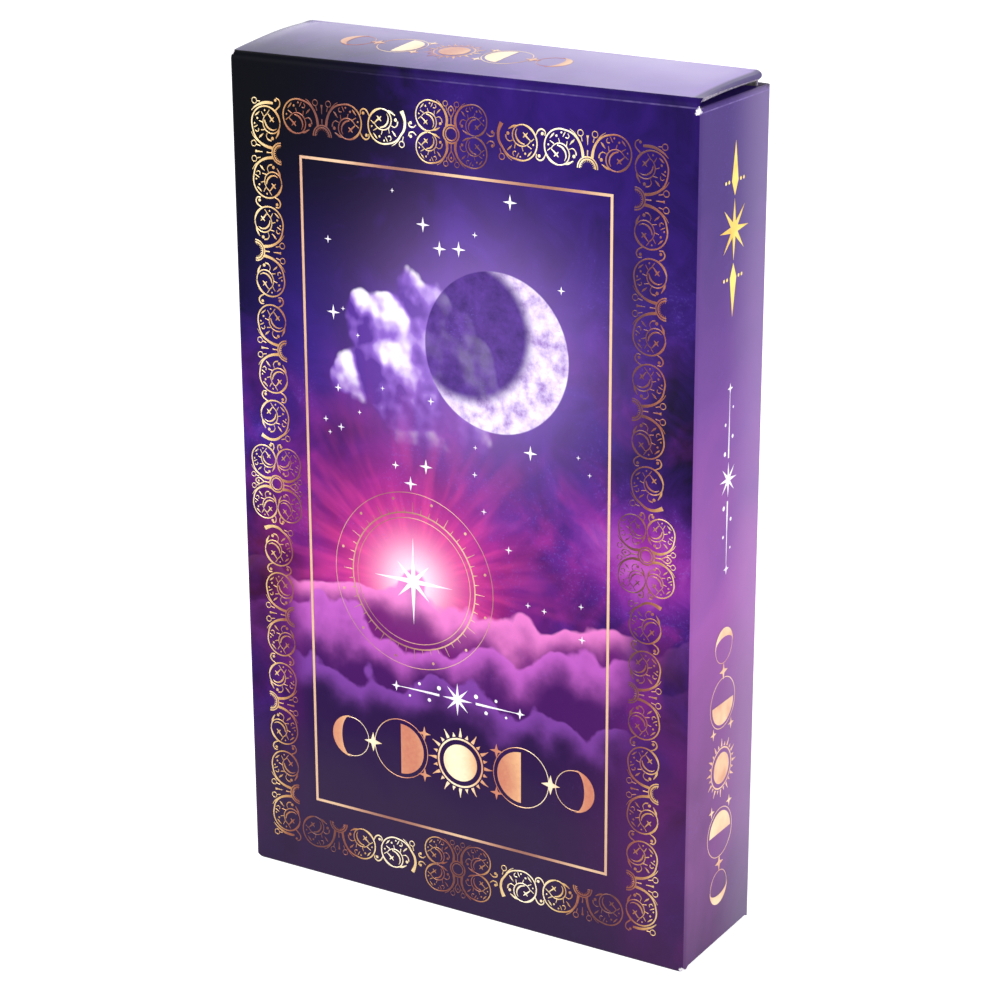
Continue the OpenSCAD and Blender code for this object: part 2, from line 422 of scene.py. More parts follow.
def front_print():
    shade = Shade("front_print")
    x, z = shade.x, shade.z
    lift = shade.step(z, *FOOT_FADE) * FOOT_LIFT + FRONT_LIFT
    for place, change in PATCH_LIFTS:
        lift = lift + shade.patch(place) * change
    tone = nebula(shade, lift)

    rose = shade.noise(17.0, detail=4.0, distortion=1.4)
    rosy = shade.step(rose, 0.42, 0.68) * shade.step(z, *ROSE_FADE)
    rosy = rosy * (1.0 - shade.patch(LEFT_GLOOM) * 0.6)
    rosy = shade.math("MAXIMUM", rosy, shade.patch(RIGHT_GLOW) * 0.9)
    shade.tint(rosy * 0.7, shade.ramp(tone, ROSE_STOPS))
    for place, strength, colour in PATCH_TINTS:
        shade.tint(shade.patch(place) * strength, colour)
    for layer in (high_cloud, radiance, cloud_banks, moon_disc):
        layer(shade, x, z)
    ember = shade.patch(EMBER)
    plum = shade.step(z + rose * 16.0, *PLUM_FADE) * 0.84
    shade.tint(plum * (1.0 - ember * 0.45), PLUM)
    shade.tint(ember * 0.6, srgb(84, 40, 90))
    speckle(shade, tone, shade.step(z, *SPECKLE_FADE) * 0.24 + 0.08)
    spots = [(TORN_CORNER, 0.6), (RUBBED_FOOT, 0.5), (RUBBED_SHOULDER, 0.4)]
    worn(shade, spots, [(z, HEIGHT - FRONT_FOLD_R, 0.16, shade.step(x, *CREASE_FADE) * 0.3)])
    return laminate(shade)


def billows(shade, x, z, size, seed):
    """Rounded lumps of three sizes, as a height in millimetres."""
    height = 0.0
    for share, cell in ((1.0, size), (0.55, size * 0.4), (0.4, size * 0.17)):
        inputs = {"Vector": shade.vector(x, seed, z * 0.9), "Scale": 1 / cell, "Smoothness": 0.2}
        lump = shade.make("ShaderNodeTexVoronoi", inputs, "Distance", feature="SMOOTH_F1")
        height = lump * (cell * share) + height
    return height


def high_cloud(shade, x, z):
    """A tall cloud behind the moon, which lights it from the right."""
    centre, stretch, radius = HIGH_CLOUD
    here = billows(shade, x, z, *HIGH_CLOUD_LUMPS)
    nearer = billows(shade, x + TO_LIGHT[0], z + TO_LIGHT[1], *HIGH_CLOUD_LUMPS)
    turned = (nearer - here) * 0.36 + 0.52
    level = shade.distance(x, z, centre, stretch) + here
    body = shade.step(level, radius + 0.5, radius - 0.5) * shade.step(z, *HIGH_CLOUD_FADE)
    deep = shade.step(z, *HIGH_CLOUD_DEPTH) * -0.22
    shade.tint(body * 0.9, shade.ramp(turned + deep, HIGH_CLOUD_STOPS))


def radiance(shade, x, z):
    """The pink light of the star, with rays."""
    away = shade.distance(x, z, STAR_PLACE)
    turning = shade.vector((x - STAR_PLACE[0]) / away, (z - STAR_PLACE[1]) / away, away * 0.012)
    rays = shade.step(shade.noise(0.14, detail=2.0, place=turning), 0.4, 0.72)
    reach = shade.glow(away, STAR_REACH)
    shade.tint(reach * 0.8, srgb(156, 34, 132))
    shade.tint(reach * rays * 0.75, srgb(236, 76, 158))
    for radius, strength, colour in STAR_GLOWS:
        shade.tint(shade.glow(away, radius) * strength, colour)


def cloud_banks(shade, x, z):
    """Banks of rounded cloud below the star, with pale rims."""
    within = shade.step(abs(x - BORDER_X), LINE_HALF_W + 5.0, LINE_HALF_W)
    shown = within * 0.86 + 0.06
    for top, size, deep, pale in CLOUD_BANKS:
        drift = shade.noise(19.0, detail=3.0, place=shade.vector(x, top, 0.0)) * 18.0
        level = z + billows(shade, x, z, size, top) - drift
        edge = top - 3.0
        body = shade.step(level, edge + 0.4, edge - 0.4)
        mottled = level + shade.noise(3.0, detail=5.0) * 3.0
        shading = shade.step(mottled, edge - 7.0, edge + 1.4)
        shade.tint(body * shown, shade.mix(shading ** 1.8, deep, pale))


def moon_disc(shade, x, z):
    """A crescent moon with a mottled face and a soft halo."""
    away = shade.distance(x, z, MOON_PLACE)
    shade.tint(shade.glow(away, MOON_R * 1.3) * 0.42, srgb(176, 140, 222))
    inside = shade.step(away, MOON_R + 0.12, MOON_R - 0.12)
    lit = shade.step(shade.distance(x, z, MOON_SHADE_PLACE), MOON_SHADE_R - 0.7, MOON_SHADE_R + 1.6)
    mottle = shade.noise(2.6, detail=6.0, roughness=0.62)
    disc = shade.mix(lit, shade.ramp(mottle, MOON_SHADE_STOPS), shade.ramp(mottle, MOON_STOPS))
    shade.tint(inside * (lit * 0.16 + 0.84), disc)


def side_print():
    shade = Shade("side_print")
    drift = shade.noise(24.0, detail=4.0, distortion=0.9)
    shade.colour = shade.ramp(shade.z / HEIGHT + (drift - 0.5) * 0.34, SIDE_STOPS)
    # Painted sheen: the side is lighter towards the rear, standing in for its reflection of the bright
    # surroundings
    shade.tint(shade.step(shade.y, -HALF_D * 0.3, HALF_D) * 0.24, srgb(202, 184, 220))
    speckle(shade, drift, 0.24)
    worn(shade, [(TORN_CORNER, 0.45), (RUBBED_FOOT, 0.4)], [(shade.z, SIDE_HIGH - 0.15, 0.14, 0.5)])
    return laminate(shade)


def back_print():
    shade = Shade("back_print")
    heart = shade.patch(BACK_HEART)
    tone = nebula(shade, heart * 0.14 - 0.06)
    rose = shade.step(shade.noise(15.0, detail=4.0, distortion=1.2), 0.46, 0.7)
    shade.tint(rose * heart * 0.6, srgb(126, 40, 136))
    speckle(shade, tone, 0.45)
    return laminate(shade)


def end_print(name, pale):
    """The print of a closure, calmer than the front; pale is how much painted glare lightens its rear and
    right side.
    """
    shade = Shade(name)
    tone = nebula(shade, 0.02)
    shade.tint(shade.step(shade.x, *END_DARK_FADE) * 0.7, srgb(26, 22, 46))
    # Painted glare: lighter towards the rear and then towards the right
    shade.tint(shade.step(shade.y, -HALF_D, HALF_D) * pale, srgb(148, 126, 202))
    shade.tint(shade.step(shade.x, *END_PAINTED_GLARE_FADE) * (pale * 0.8), srgb(188, 164, 236))
    # Painted shade at the cut ends, where the lid curls down away from the light
    curl = HALF_W - CURL_WIDTH
    shade.tint(shade.step(abs(shade.x), curl - 0.6, curl + 0.2) * 0.85, srgb(46, 32, 92))
    speckle(shade, tone, 0.3)
    worn(shade, [(TORN_CORNER, 0.5), (RUBBED_SHOULDER, 0.4)])
    return laminate(shade, roughness=0.33, specular=0.2)


def flap_print():
    shade = Shade("flap_print")
    nebula(shade, -0.02)
    shade.tint(0.6, srgb(44, 30, 96))
    return laminate(shade)


def bare_board():
    """The grey-white inner face of the board, with short fibres."""
    shade = Shade("bare_board")
    fibres = shade.noise(0.5, detail=5.0, distortion=2.0)
    clouding = shade.noise(6.0, detail=3.0)
    shade.colour = shade.ramp(fibres * 0.6 + clouding * 0.4, [
        (0.3, srgb(176, 172, 170)), (0.5, srgb(201, 197, 194)), (0.7, srgb(218, 215, 211))])
    return shade.finish(0.88, 0.2, grain=(fibres, 0.02))


def leaflet_paper():
    shade = Shade("leaflet_paper")
    fibres = shade.noise(0.4, detail=5.0, distortion=1.0)
    shade.colour = shade.ramp(fibres, [(0.3, srgb(232, 230, 224)), (0.7, srgb(250, 249, 246))])
    return shade.finish(0.8, 0.2, grain=(fibres, 0.01))


def toned(name, stops, size, detail=3.0, roughness=0.42, specular=0.35):
    """An ink, a cut edge or card stock, with a soft change of tone."""
    shade = Shade(name)
    shade.colour = shade.ramp(shade.noise(size, detail=detail), stops)
    return shade.finish(roughness, specular)


def cut_edge(name, deep, middle, pale):
    """Layers of board with a tint of the print; at the bottom closure they get near-black painted shade for
    the shadow under the side walls.
    """
    return toned(name, [(0.3, deep), (0.55, middle), (0.75, pale)], 0.3, 4.0, 0.85, 0.1)


# Gold: the width of one band, how much the bands lean, and the tones from dark to bright

GOLD_PERIOD = 24.5
GOLD_SLOPE = 3.0 / 110.0
GOLD_STOPS = [(0.0, srgb(84, 34, 28)), (0.24, srgb(134, 68, 42)), (0.5, srgb(186, 138, 80)),
              (0.74, srgb(222, 192, 134)), (1.0, srgb(250, 238, 206))]
LINE_STOPS = [(0.0, srgb(138, 88, 76)), (0.5, srgb(180, 132, 108)), (1.0, srgb(216, 180, 146))]
MOTIF_STOPS = [(0.0, srgb(186, 108, 84)), (0.5, srgb(222, 170, 124)), (1.0, srgb(252, 232, 196))]
COLUMN_NEAR_X = BORDER_HALF_W - 7.0
COLUMN_FAR_X = BORDER_HALF_W - 2.0


def gold(name, stops, bright_x, period=GOLD_PERIOD, left_dim=0.0, right_dim=0.0):
    """Printed gold in bands from cream to copper; the left and right columns may be dimmer."""
    shade = Shade(name)
    wobble = (shade.noise(16.0, detail=2.0) - 0.5) * 7.0
    turn = (shade.x - bright_x - shade.z * GOLD_SLOPE + wobble) * (2 * math.pi / period)
    wave = shade.math("COSINE", turn) * 0.46 + 0.5
    fleck = (shade.noise(0.6, detail=3.0) - 0.5) * 0.22
    right = shade.step(shade.x, COLUMN_NEAR_X, COLUMN_FAR_X) * right_dim
    left = shade.step(shade.x, -COLUMN_NEAR_X, -COLUMN_FAR_X) * left_dim
    shade.colour = shade.ramp(wave + fleck - right - left, stops)
    return shade.finish(0.34, 0.5, metallic=0.25)


MATERIALS = {
    "front": front_print(),
    "side": side_print(),
    "back": back_print(),
    "flap": flap_print(),
    # Closures with painted glare and painted shade at their ends; the lid's glare is strong, the base's
    # slight
    "lid": end_print("end_print", 0.75),
    "base": end_print("base_print_with_painted_light", 0.1),
    "board": bare_board(),
    "edge": cut_edge("cut_edge", srgb(96, 86, 116), srgb(150, 142, 160), srgb(188, 182, 194)),
    # Painted shadow: the bottom closure's edge is near black for the shade in the gap under the side walls
    "painted_shadow_edge": cut_edge("painted_shadow_edge", srgb(8, 6, 12), srgb(18, 14, 24), srgb(34, 28, 42)),
    "card": toned("card_stock", [(0.3, srgb(222, 214, 204)), (0.7, srgb(244, 240, 232))], 0.25, 3.0, 0.5),
    "leaflet": leaflet_paper(),
    "gold": gold("border_gold", GOLD_STOPS, -12.2, left_dim=0.17, right_dim=0.1),
    "line": gold("line_gold", LINE_STOPS, -1.0, 22.5),
    "motif": gold("motif_gold", MOTIF_STOPS, -2.0, 15.0),
    "white": toned("white_ink", [(0.3, srgb(226, 214, 240)), (0.6, srgb(255, 252, 255))], 4.0),
    "yellow": toned("yellow_ink", [(0.3, srgb(232, 178, 70)), (0.6, srgb(252, 226, 120))], 5.0),
    "blush": toned("blush_gold_ink", [(0.3, srgb(214, 150, 120)), (0.6, srgb(250, 216, 176))], 6.0),
}


# Boards: sheets of card with a printed outside, a bare inside and cut edges


def mesh_piece(name, points, faces, materials, indices=None):
    mesh = bpy.data.meshes.new(name)
    mesh.from_pydata([Vector(p) * MM for p in points], [], faces)
    for material in materials:
        mesh.materials.append(material)
    if indices is not None:
        mesh.polygons.foreach_set("material_index", indices)
    mesh.polygons.foreach_set("use_smooth", [True] * len(mesh.polygons))
    mesh.set_sharp_from_angle(angle=SHARP_ANGLE)
    mesh.update()
    piece = bpy.data.objects.new(name, mesh)
    bpy.context.scene.collection.objects.link(piece)
    return piece


def grid_normal(rows, i, j):
    along = rows[i][min(j + 1, len(rows[i]) - 1)] - rows[i][max(j - 1, 0)]
    up = rows[min(i + 1, len(rows) - 1)][j] - rows[max(i - 1, 0)][j]
    return along.cross(up).normalized()


def board(name, rows, print_material, flip=False, edge="edge"):
    """A sheet from a grid of points on its outer face; flip turns a mirrored grid the right way out."""
    rows = [[Vector(p) for p in row] for row in rows]
    side = -1.0 if flip else 1.0
    count = len(rows[0])
    outer = [p for row in rows for p in row]
    inner = []
    for i in range(len(rows)):
        inner += [rows[i][j] - side * BOARD * grid_normal(rows, i, j) for j in range(count)]
    size = len(outer)
    faces, indices = [], []

    def add(face, index):
        faces.append(face[::-1] if flip else face)
        indices.append(index)

    for i in range(len(rows) - 1):
        for j in range(count - 1):
            a, b = i * count + j, (i + 1) * count + j
            add((a, a + 1, b + 1, b), 0)
            add((size + a, size + b, size + b + 1, size + a + 1), 1)
    rim = list(range(count))
    rim += [i * count + count - 1 for i in range(1, len(rows))]
    rim += [(len(rows) - 1) * count + j for j in range(count - 2, -1, -1)]
    rim += [i * count for i in range(len(rows) - 2, 0, -1)]
    for a, b in zip(rim, rim[1:] + rim[:1]):
        add((b, a, size + a, size + b), 2)
    materials = [print_material, MATERIALS["board"], MATERIALS[edge]]
    return mesh_piece(name, outer + inner, faces, materials, indices)


def spread(low, high, steps):
    return [low + (high - low) * i / steps for i in range(steps + 1)]


def panel(piece, body, node):
    """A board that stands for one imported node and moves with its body."""
    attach(piece, body)
    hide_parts(node)


def crease(piece):
    """A fold between two bodies, whose placement is baked into its mesh; it is attached to neither body."""
    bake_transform(piece)


ARC_STEPS = 6
WALL_STEPS = 24
FLAP_STEPS = 10


def wall_path(half_length, distance):
    """A wall seen from above, from the middle of one rounded corner to the middle of the next."""
    turns = spread(0.0, math.pi / 4, ARC_STEPS)
    straight = half_length - CORNER_R
    arc = [(straight + CORNER_R * math.sin(t), distance - CORNER_R * (1 - math.cos(t))) for t in turns]
    middle = [(u, distance) for u in spread(-straight, straight, WALL_STEPS)[1:-1]]
    return [(-u, d) for u, d in reversed(arc)] + middle + arc


def wall(name, half_length, distance, to_plan, low, high, material, node, shoulder=0.0):
    """A wall of the carton; shoulder is how much lower its upper corners are, and higher its lower ones."""
    rows = [[] for _ in range(WALL_STEPS + 1)]
    for u, d in wall_path(half_length, distance):
        cut = shoulder if abs(u) > half_length - CORNER_R - 0.01 else 0.0
        for row, z in zip(rows, spread(low + cut, high - cut, WALL_STEPS)):
            row.append((*to_plan(u, d), z))
    panel(board(name, rows, material), "carton", node)


def from_front(u, d):
    return u, -d


def from_right(u, d):
    return d, u


def from_back(u, d):
    return -u, d


def from_left(u, d):
    return -d, -u


wall("front_board", HALF_W, HALF_D, from_front, BASE_FOLD_R, HEIGHT - FRONT_FOLD_R, MATERIALS["front"],
     "front_panel")
wall("back_board", HALF_W, HALF_D, from_back, back_low[2], BACK_TOP, MATERIALS["back"],
     "back_panel", BACK_SHOULDER)
wall("right_board", HALF_D, HALF_W, from_right, SIDE_LOW, SIDE_HIGH, MATERIALS["side"],
     "right_panel", SIDE_SHOULDER)
wall("left_board", HALF_D, HALF_W, from_left, SIDE_LOW, SIDE_HIGH, MATERIALS["side"],
     "left_panel", SIDE_SHOULDER)


# The two ends of the carton. Each is drawn as the top, and mirrored for the bottom.

LID_START = -HALF_D + FRONT_FOLD_R * (1 - math.cos(FRONT_FOLD_TURN))
LID_END = TUCK_FACE - REAR_FOLD_R


def lid_height(x, y):
    """Height of the top lid's outer face."""
    along = min(max((y - LID_START) / (LID_END - LID_START), 0.0), 1.0)
    across = (x / HALF_LID + 1) / 2
    lift = REAR_LIFT_LEFT + (REAR_LIFT_RIGHT - REAR_LIFT_LEFT) * across
    bow = 1 - (1 - along) ** LIFT_POWER
    edge = max(0.0, 1 - (HALF_W - abs(x)) / CURL_WIDTH)
    start = HEIGHT - FRONT_FOLD_R * (1 - math.sin(FRONT_FOLD_TURN))
    return start + lift * bow - CURL_DROP * edge * edge * bow


def base_height(x, y):
    """The bottom closure is pressed flat, because the carton stands on it."""
    return HEIGHT


class End:
    """Names, heights and mirroring for one end of the carton."""

    def __init__(self, name, lid_node, lid_body, height, half_width, flap_top, fold_r, fold_turn, material):
        self.name = name
        self.lid_node = lid_node
        self.lid_body = lid_body
        self.height = height
        self.flap_top = flap_top
        self.fold_r = fold_r
        self.fold_turn = fold_turn
        self.material = material
        self.path = [from_front(u, d) for u, d in wall_path(HALF_W, HALF_D)]
        self.narrowing = half_width / self.path[-1][0] - 1
        self.mirrored = name == "bottom"
        self.tapers = 1.0 if self.mirrored else 0.0
        # The bottom's cut edges get painted shadow, for the shade under the side walls
        self.edge = "painted_shadow_edge" if self.mirrored else "edge"

    def put(self, x, y, z):
        return (x, y, HEIGHT - z) if self.mirrored else (x, y, z)

    def board(self, label, rows, material):
        rows = [[self.put(*p) for p in row] for row in rows]
        return board(self.name + "_" + label, rows, material, self.mirrored, self.edge)

    def front_fold(self):
        """The rounded crease between the front panel and the closure."""
        rows = []
        for turn in spread(0.0, self.fold_turn, 8):
            back = self.fold_r * (1 - math.cos(turn))
            z = HEIGHT - self.fold_r * (1 - math.sin(turn))
            narrow = 1 + self.narrowing * turn / self.fold_turn * self.tapers
            rows.append([(x * narrow, y + back, z) for x, y in self.path])
        piece = self.board("front_fold", rows, MATERIALS["front"])
        start = self.put(0.0, -HALF_D, HEIGHT - self.fold_r)
        end = self.put(0.0, rows[-1][len(self.path) // 2][1], HEIGHT)
        crease(piece)

    def lid(self):
        """The closure itself, whose rear corners are round."""
        first = self.fold_r * (1 - math.cos(self.fold_turn))
        rows = []
        for share in spread(0.0, LID_ROUNDING_START, 15) + spread(LID_ROUNDING_START, 1.0, 6)[1:]:
            row = []
            wide = 1 + self.narrowing * max(share, self.tapers)
            past = max(0.0, (share - LID_ROUNDING_START) / (1 - LID_ROUNDING_START))
            wide *= 1 - LID_ROUNDING / HALF_W * (1 - math.sqrt(1 - past * past))
            for x, y in self.path:
                deep = y + first + (LID_END - y - first) * share
                row.append((x * wide, deep, self.height(x * wide, deep)))
            rows.append(row)
        piece = self.board("lid_board", rows, self.material)
        panel(piece, self.lid_body, self.lid_node)

    def rear_fold(self):
        """The crease between the closure and its tuck tab, down to where the tab hangs free."""
        columns = spread(-HALF_TUCK, HALF_TUCK, WALL_STEPS)
        rows = []
        for turn in spread(0.0, math.pi / 2, ARC_STEPS):
            y = LID_END + REAR_FOLD_R * math.sin(turn)
            drop = REAR_FOLD_R * (1 - math.cos(turn))
            rows.append([(x, y, self.height(x, LID_END) - drop) for x in columns])
        high = rows[-1]
        low = [(x, TUCK_FACE, TUCK_ROOT_Z) for x in columns]
        for share in spread(0.0, 1.0, 4)[1:]:
            rows.append([tuple(Vector(a).lerp(Vector(b), share)) for a, b in zip(high, low)])
        piece = self.board("rear_fold", rows, self.material)
        start = self.put(0.0, TUCK_FACE, HEIGHT)
        end = self.put(0.0, TUCK_FACE, TUCK_ROOT_Z)
        crease(piece)

    def tuck(self):
        """The tab, whose free corners are round."""
        bend = TUCK_ROOT_Z - TUCK_STRAIGHT
        radius = bend - tuck_low[2]
        rows = []
        levels = spread(TUCK_ROOT_Z, bend, 3)
        levels += [bend - radius * math.sin(t) for t in spread(0.0, math.pi / 2, 12)[1:]]
        for z in levels:
            down = max(0.0, bend - z)
            half = HALF_TUCK - radius + math.sqrt(max(radius ** 2 - down ** 2, 0.0))
            rows.append([(x, TUCK_FACE, z) for x in spread(-half, half, WALL_STEPS)])
        piece = self.board("tuck_board", rows, self.material)
        panel(piece, self.name + "_tuck_tab", self.name + "_tuck")

    def dust_flap(self, hand):
        """One dust flap and its crease; hand is 1 at the right and -1 at the left."""
        side = "right" if hand > 0 else "left"
        body = self.name + "_flap_" + side
        top = self.flap_top
        crease_x = HALF_W - FLAP_FOLD_R
        front, back = flap_low[1], flap_high[1]

        def place(x, y, z):
            x, y, z = self.put(x, y, z)
            return (hand * x, y, z)

        flip = self.mirrored != (hand < 0)
        rows = []
        for turn in spread(0.0, math.pi / 2, 5):
            x = crease_x + FLAP_FOLD_R * math.cos(turn)
            z = top - FLAP_FOLD_R * (1 - math.sin(turn))
            rows.append([place(x, y, z) for y in spread(-HALF_D + CORNER_R, HALF_D - CORNER_R, FLAP_STEPS)])
        fold = board(self.name + "_flap_fold_" + side, rows, MATERIALS["side"], flip)
        start = place(HALF_W, 0.0, top - FLAP_FOLD_R)
        end = place(crease_x, 0.0, top)
        crease(fold)

        length = crease_x - flap_low[0]
        slanted = length - FLAP_CHAMFER
        rows = []
        for gone in spread(0.0, slanted, 8) + spread(slanted, length, 2)[1:]:
            slant = min(gone, slanted) / slanted
            cut = max(0.0, gone - slanted)
            low = front + FLAP_FRONT_SLANT * slant + cut
            high = back - FLAP_BACK_SLANT * slant - cut
            rows.append([place(crease_x - gone, y, top) for y in spread(low, high, FLAP_STEPS)])
        flap = board(self.name + "_flap_board_" + side, rows, MATERIALS["flap"], flip)
        panel(flap, body, self.name + "_dust_flap_" + side)

    def build(self):
        self.front_fold()
        self.lid()
        self.rear_fold()
        self.tuck()
        self.dust_flap(1)
        self.dust_flap(-1)


End("top", "top_lid", "lid", lid_height, HALF_W, TOP_FLAP_Z, FRONT_FOLD_R, FRONT_FOLD_TURN,
    MATERIALS["lid"]).build()
End("bottom", "bottom_closure", "bottom_end", base_height, HALF_BASE, HEIGHT - BOTTOM_FLAP_Z, BASE_FOLD_R,
    math.pi / 2, MATERIALS["base"]).build()


# What is inside keeps its solids and gets its materials

INSIDE = {"glue_flap": "board", "leaflet": "leaflet"}
for node, shown in frame["nodes"].items():
    shown.data.materials.clear()
    shown.data.materials.append(MATERIALS[INSIDE.get(node, "card")])


# Printed ornament, drawn as thin raised ink

INK_TOP = 0.035
INK_FOOT = -0.012
DOT_TOP = 0.049


def arc(centre, radii, start, stop, steps):
    """Points round an oval; angles are in degrees, from the second axis towards the first."""
    turns = [math.radians(t) for t in spread(start, stop, steps)]
    return [(centre[0] + radii[0] * math.sin(t), centre[1] + radii[1] * math.cos(t)) for t in turns]


def curve(points, steps):
    """A smooth line through a few points."""
    knots = [Vector(p) for p in points]
    knots = [2 * knots[0] - knots[1]] + knots + [2 * knots[-1] - knots[-2]]
    line = []
    for a, b, c, d in zip(knots, knots[1:], knots[2:], knots[3:]):
        for i in range(steps):
            t = i / steps
            line.append(0.5 * (2 * b + (c - a) * t + (2 * a - 5 * b + 4 * c - d) * t ** 2
                               + (3 * b - a - 3 * c + d) * t ** 3))
    line.append(knots[-2])
    return [tuple(p) for p in line]


def rosette(centre, radii):
    """Points at equal angles round a centre, one for each radius."""
    points = []
    for i, radius in enumerate(radii):
        angle = 2 * math.pi * i / len(radii)
        points.append((centre[0] + radius * math.sin(angle), centre[1] + radius * math.cos(angle)))
    return points


def runs_left(outline):
    """Whether an outline runs round to the left."""
    return sum(a[0] * b[1] - b[0] * a[1] for a, b in zip(outline, outline[1:] + outline[:1])) >= 0


class Ink:
    """Strokes, dots and filled shapes on one printed face, gathered into one mesh."""

    def __init__(self, surface):
        self.surface = surface
        self.points = []
        self.faces = []

    def add(self, places, faces):
        start = len(self.points)
        self.points += [self.surface(*p) for p in places]
        self.faces += [[start + k for k in face] for face in faces]

    def stroke(self, line, widths):
        """A ridge along a line, whose width runs through the given widths."""
        line = [Vector(p) for p in line]
        places = []
        for i, point in enumerate(line):
            along = (line[min(i + 1, len(line) - 1)] - line[max(i - 1, 0)]).normalized()
            share = i / (len(line) - 1) * (len(widths) - 1)
            k = min(int(share), len(widths) - 2)
            half = (widths[k] + (widths[k + 1] - widths[k]) * (share - k)) / 2
            left = Vector((-along.y, along.x)) * half
            places.append((*(point + left), INK_FOOT))
            places.append((*point, INK_TOP))
            places.append((*(point - left), INK_FOOT))
        faces = []
        for i in range(len(line) - 1):
            a, b = 3 * i, 3 * i + 3
            faces += [(a + 1, b + 1, b, a), (a + 2, b + 2, b + 1, a + 1), (a, b, b + 2, a + 2)]
        last = 3 * len(line) - 3
        faces += [(0, 2, 1), (last + 2, last, last + 1)]
        self.add(places, faces)

    def dot(self, centre, radius, sides=10):
        places = []
        for turn in spread(0.0, 2 * math.pi, sides)[:-1]:
            place = (centre[0] + radius * math.cos(turn), centre[1] + radius * math.sin(turn))
            places.append((*place, INK_FOOT))
        places.append((*centre, DOT_TOP))
        faces = [(i, (i + 1) % sides, sides) for i in range(sides)]
        faces.append(tuple(range(sides - 1, -1, -1)))
        self.add(places, faces)

    def fill(self, outline):
        """A flat shape; its outline runs either way round."""
        if not runs_left(outline):
            outline = outline[::-1]
        count = len(outline)
        places = [(*p, INK_TOP) for p in outline] + [(*p, INK_FOOT) for p in outline]
        faces = [tuple(range(count)), tuple(range(2 * count - 1, count - 1, -1))]
        for i in range(count):
            k = (i + 1) % count
            faces.append((i, count + i, count + k, k))
        self.add(places, faces)

    def band(self, first, second):
        """A flat shape between two lines of as many points each, which follows a bent face."""
        if not runs_left(first + second[::-1]):
            first, second = second, first
        count = len(first)
        size = 2 * count
        places = [(*p, h) for h in (INK_TOP, INK_FOOT) for p in first + second]
        faces = []
        for i in range(count - 1):
            k = count + i
            faces += [(i, i + 1, k + 1, k), (size + i, size + k, size + k + 1, size + i + 1)]
            faces += [(i, size + i, size + i + 1, i + 1), (k + 1, size + k + 1, size + k, k)]
        self.add(places, faces)

    def piece(self, name, material, body, slot):
        made = mesh_piece(name, self.points, self.faces, [material])
        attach(made, body)


class Pen:
    """Draws on ink from a place of its own, with its own two axes and scale."""

    def __init__(self, ink, origin, first, second, scale=1.0):
        self.ink = ink
        self.origin = Vector(origin)
        self.first = Vector(first) * scale
        self.second = Vector(second) * scale
        self.scale = scale

    def to(self, point):
        return tuple(self.origin + self.first * point[0] + self.second * point[1])

    def stroke(self, line, *widths):
        self.ink.stroke([self.to(p) for p in line], [w * self.scale for w in widths])

    def dot(self, centre, radius):
        self.ink.dot(self.to(centre), radius * self.scale)

    def fill(self, outline):
        self.ink.fill([self.to(p) for p in outline])

    def band(self, first, second):
        self.ink.band([self.to(p) for p in first], [self.to(p) for p in second])

    def ring(self, centre, radius, width, steps=40):
        self.stroke(arc(centre, (radius, radius), 0, 360, steps), width, width)


# The gold border. Each medallion is a scroll in a circle. Its first axis points to the half sun that its
# stem grows from, and its second axis to the edge of the strip where that sun sits. A stem is a line and its
# widths; it grows from a sun, from a thick band beside a quatrefoil, or inside a quatrefoil.

OUTLINE_R = 2.45
EYE = (-0.1, 0.95)
EYE_R = 1.46
SUN_REACH = 4.12
SUN_EDGE = 2.42
SUN_STEM = [(3.45, 1.0), (3.28, 0.0)], (0.58, 0.5, 0.4, 0.32, 0.3)
BAND_STEM = [(3.05, 2.4), (3.42, 1.6), (3.58, 0.8), (3.42, -0.15)], (0.84, 0.56, 0.5, 0.4, 0.3, 0.3)
LOBE_STEM = [(3.2, 1.4), (3.3, 0.2)], (0.66, 0.56, 0.42, 0.32, 0.3)
TENDRIL_R = 0.42


def scroll(pen, stem):
    """The main line of a medallion: up its stem, round the outline, and into the eye."""
    line, widths = stem
    outline = arc((0.0, 0.0), (OUTLINE_R, OUTLINE_R), 167, 354, 26)
    pen.stroke(curve(line + [(2.92, -0.9), (2.36, -1.62), (1.55, -2.14), outline[0]], 4), *widths)
    pen.stroke(outline, 0.3, 0.27, 0.27, 0.27, 0.3, 0.46, 0.22)
    pen.stroke(arc(EYE, (EYE_R, EYE_R), -4, 244, 20), 0.22, 0.24, 0.22, 0.18)


